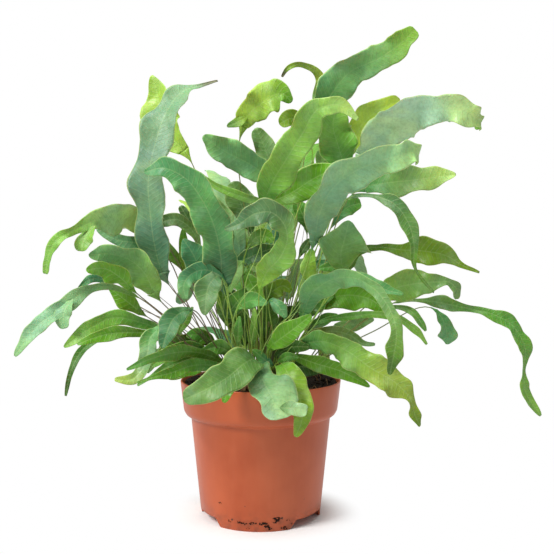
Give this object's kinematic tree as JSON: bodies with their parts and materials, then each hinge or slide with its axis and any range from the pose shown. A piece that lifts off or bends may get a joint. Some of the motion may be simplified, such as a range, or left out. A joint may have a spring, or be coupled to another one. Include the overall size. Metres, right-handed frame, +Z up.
{
  "type": "potted fern",
  "caption": "Blue-leaved fern with long strap-shaped fronds on thin stalks, rising from a knobbly crown in a round plastic nursery pot with a footed base.",
  "frame": {"origin": "middle of the pot's underside, on the surface that the pot stands on", "axes": "+Z up along the pot's axis, the pictured front of the plant faces -Y, +X to the viewer's right"},
  "size_m": [0.3746, 0.2303, 0.3589],
  "materials": {
    "frond_glaucous": "satin leaf",
    "frond_green": "satin leaf",
    "frond_lime": "satin leaf",
    "frond_pale": "satin leaf",
    "frond_olive": "satin leaf",
    "frond_grey": "satin leaf",
    "frond_dark": "satin leaf",
    "rhizome": "matt, scaly",
    "soil": "matt, crumbly",
    "pot": "satin"
  },
  "bodies": {
    "root": {"frond_tall_left": "frond_glaucous", "frond_lime_behind_tall": "frond_lime", "frond_arch_left": "frond_glaucous", "frond_top_right": "frond_green", "frond_top_hook": "frond_lime", "frond_lime_cap": "frond_lime", "frond_upper_left": "frond_green", "frond_grey_pair": "frond_grey", "frond_light_edge": "frond_lime", "frond_big_front": "frond_green", "frond_lime_peek": "frond_lime", "frond_veined_back": "frond_green", "frond_lime_right": "frond_lime", "frond_pale_right": "frond_pale", "frond_glaucous_right": "frond_glaucous", "frond_right_spear": "frond_lime", "frond_mid_green": "frond_green", "frond_centre_hood": "frond_glaucous", "frond_wide_left": "frond_glaucous", "frond_left_broad": "frond_green", "frond_left_under": "frond_green", "frond_long_left": "frond_glaucous", "frond_olive_left": "frond_olive", "frond_low_left": "frond_green", "frond_dangle_left": "frond_dark", "frond_curled_left": "frond_lime", "frond_teal_square": "frond_glaucous", "frond_rim_left": "frond_green", "frond_front_heart": "frond_glaucous", "frond_front_centre": "frond_glaucous", "frond_front_right": "frond_lime", "frond_young_front": "frond_green", "frond_strap_low_right": "frond_glaucous", "frond_rim_right": "frond_green", "frond_brown_right": "frond_olive", "frond_strap_right": "frond_green", "frond_hanging_right": "frond_glaucous", "frond_arched_right": "frond_green", "frond_lobed_right": "frond_olive", "frond_far_spear": "frond_olive", "frond_hanging_far": "frond_olive", "frond_far_ribbon": "frond_green", "frond_right_star": "frond_green", "frond_lime_stub": "frond_lime", "frond_small_right": "frond_green", "frond_teal_tongue": "frond_green", "frond_teal_core": "frond_glaucous", "frond_dark_left": "frond_dark", "frond_core_back": "frond_dark", "frond_core_front": "frond_green", "frond_front_bud": "frond_lime", "frond_back_1": "frond_green", "frond_back_2": "frond_glaucous", "frond_back_3": "frond_lime", "frond_back_4": "frond_glaucous", "frond_back_5": "frond_green", "rhizome": "rhizome", "soil": "soil", "pot": "pot"}
  },
  "joints": []
}
